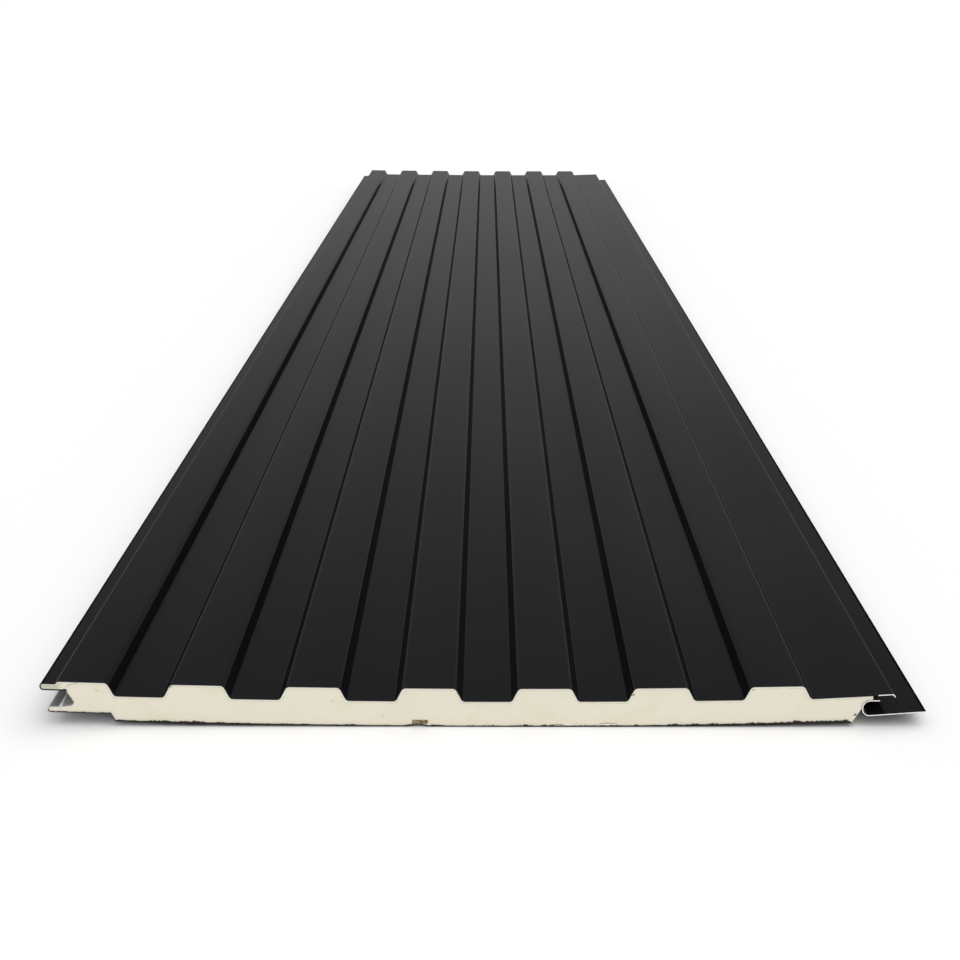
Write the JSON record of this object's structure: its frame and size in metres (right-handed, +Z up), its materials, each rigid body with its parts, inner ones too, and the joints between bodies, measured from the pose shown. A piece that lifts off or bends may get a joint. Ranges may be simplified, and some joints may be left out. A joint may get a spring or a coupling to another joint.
{
  "type": "insulated metal siding panel",
  "caption": "Long wall cladding panel: ribbed painted steel face on a rigid foam core with a foil back, a grooved lip on one long edge and a tongue, pocket and nailing flange on the other.",
  "frame": {"origin": "under the middle of the panel's box, on the level the panel lies on", "axes": "+X across the panel from the groove edge to the flange edge, +Y along the panel from the near end, +Z up out of the painted face"},
  "size_m": [0.4128, 2, 0.0223],
  "materials": {
    "painted_steel": "satin black coil paint, bare cut edges",
    "foam": "cream rigid foam, sawn ends",
    "foil_liner": "dull grey foil on brown paper"
  },
  "bodies": {
    "root": {"face_sheet": "painted_steel", "foam_core": "foam", "back_liner": "foil_liner"}
  },
  "joints": []
}
